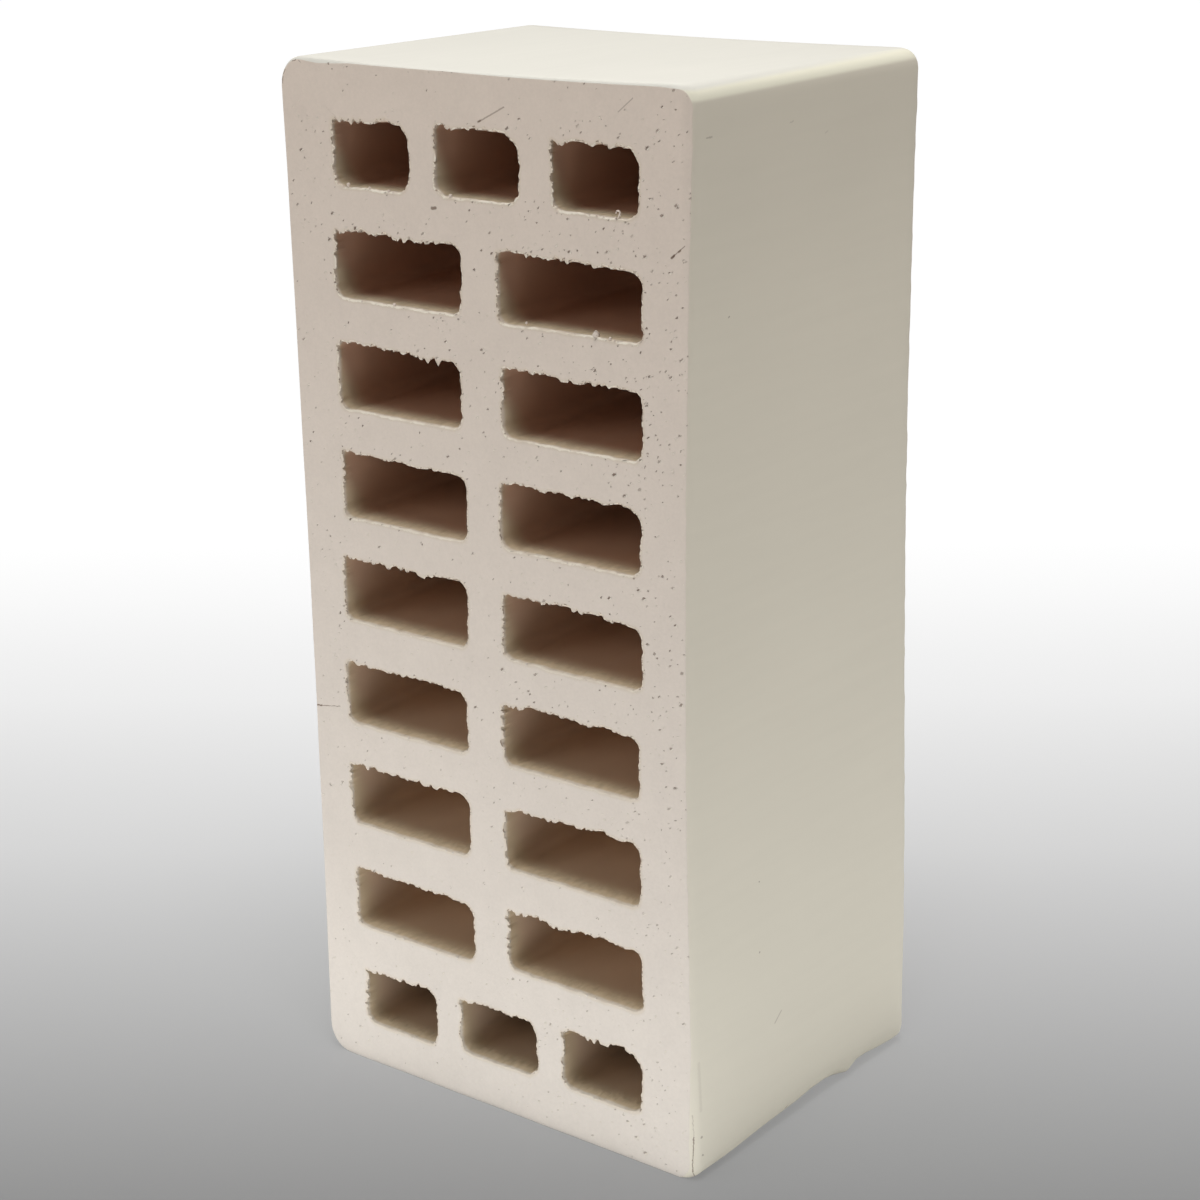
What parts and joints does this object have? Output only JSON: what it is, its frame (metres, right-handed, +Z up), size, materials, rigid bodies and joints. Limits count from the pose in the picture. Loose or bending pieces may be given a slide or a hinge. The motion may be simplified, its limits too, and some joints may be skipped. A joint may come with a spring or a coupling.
{
  "type": "clay brick",
  "caption": "Hollow facing brick of fired clay, stood on its header end, with rectangular slots right through from bed face to bed face and softly rounded long edges.",
  "frame": {"origin": "middle of the header face that the brick stands on", "axes": "+Z up, along the brick's length; +Y from the front bed face to the back one, along the slots; +X across the front bed face, towards the stretcher face that is drawn in most"},
  "size_m": [0.12, 0.088, 0.25],
  "materials": {
    "fired_clay": "matte"
  },
  "bodies": {
    "root": {"brick": "fired_clay"}
  },
  "joints": []
}
